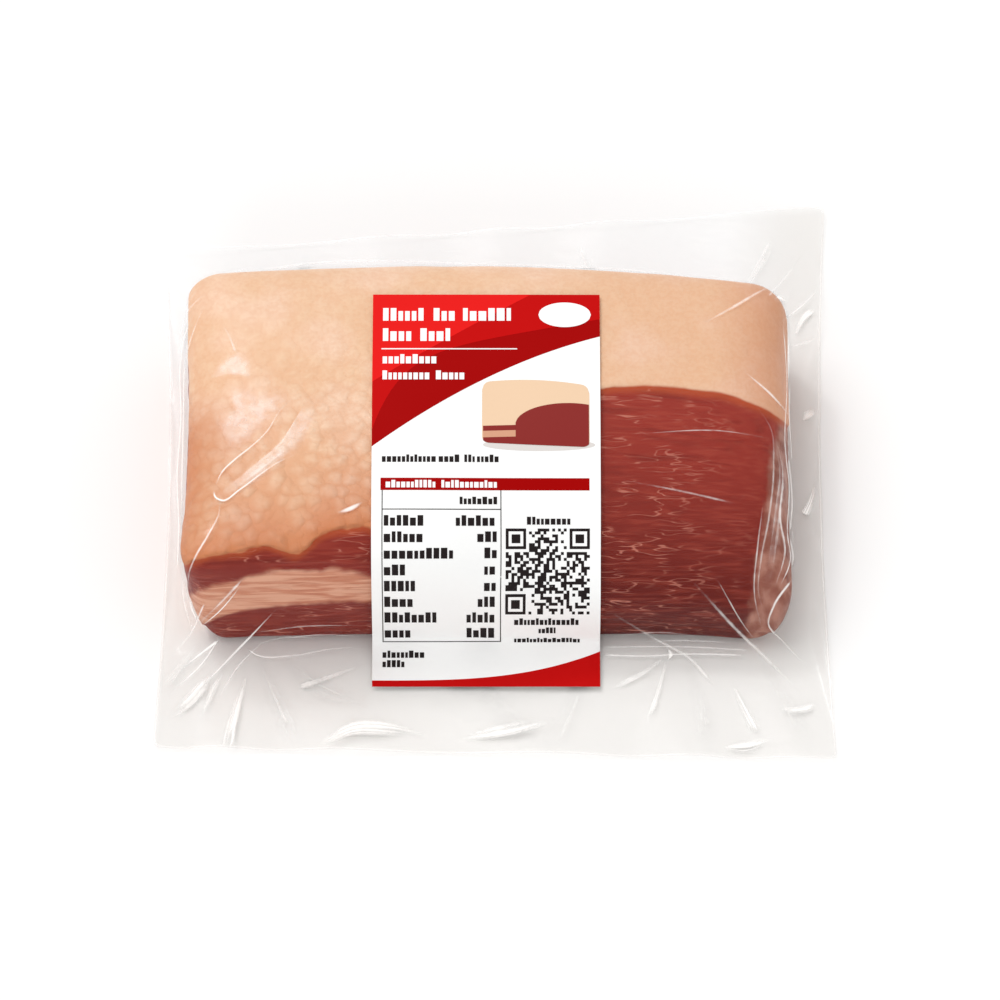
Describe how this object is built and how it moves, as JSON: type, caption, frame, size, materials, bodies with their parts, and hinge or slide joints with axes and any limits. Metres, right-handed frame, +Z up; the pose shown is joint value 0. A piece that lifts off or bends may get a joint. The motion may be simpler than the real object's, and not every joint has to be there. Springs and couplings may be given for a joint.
{
  "type": "vacuum packed pork belly slab",
  "caption": "Skin-on slab of raw pork belly in a clear vacuum pouch with a wide sealed margin, with a long printed paper label over its top and front.",
  "frame": {"origin": "middle of the pack's plan on the plane that it lies on", "axes": "+X along the slab towards its bare lean end, +Y from the cut front face to the back, +Z up"},
  "size_m": [0.2116, 0.2126, 0.0523],
  "materials": {
    "pork": "moist pale rind with dark red lean below it",
    "pouch_film": "clear glossy film with an embossed fine hatch",
    "label_paper": "coated white paper with red fields"
  },
  "bodies": {
    "root": {"vacuum_pouch": "pork", "label": "label_paper"}
  },
  "joints": []
}
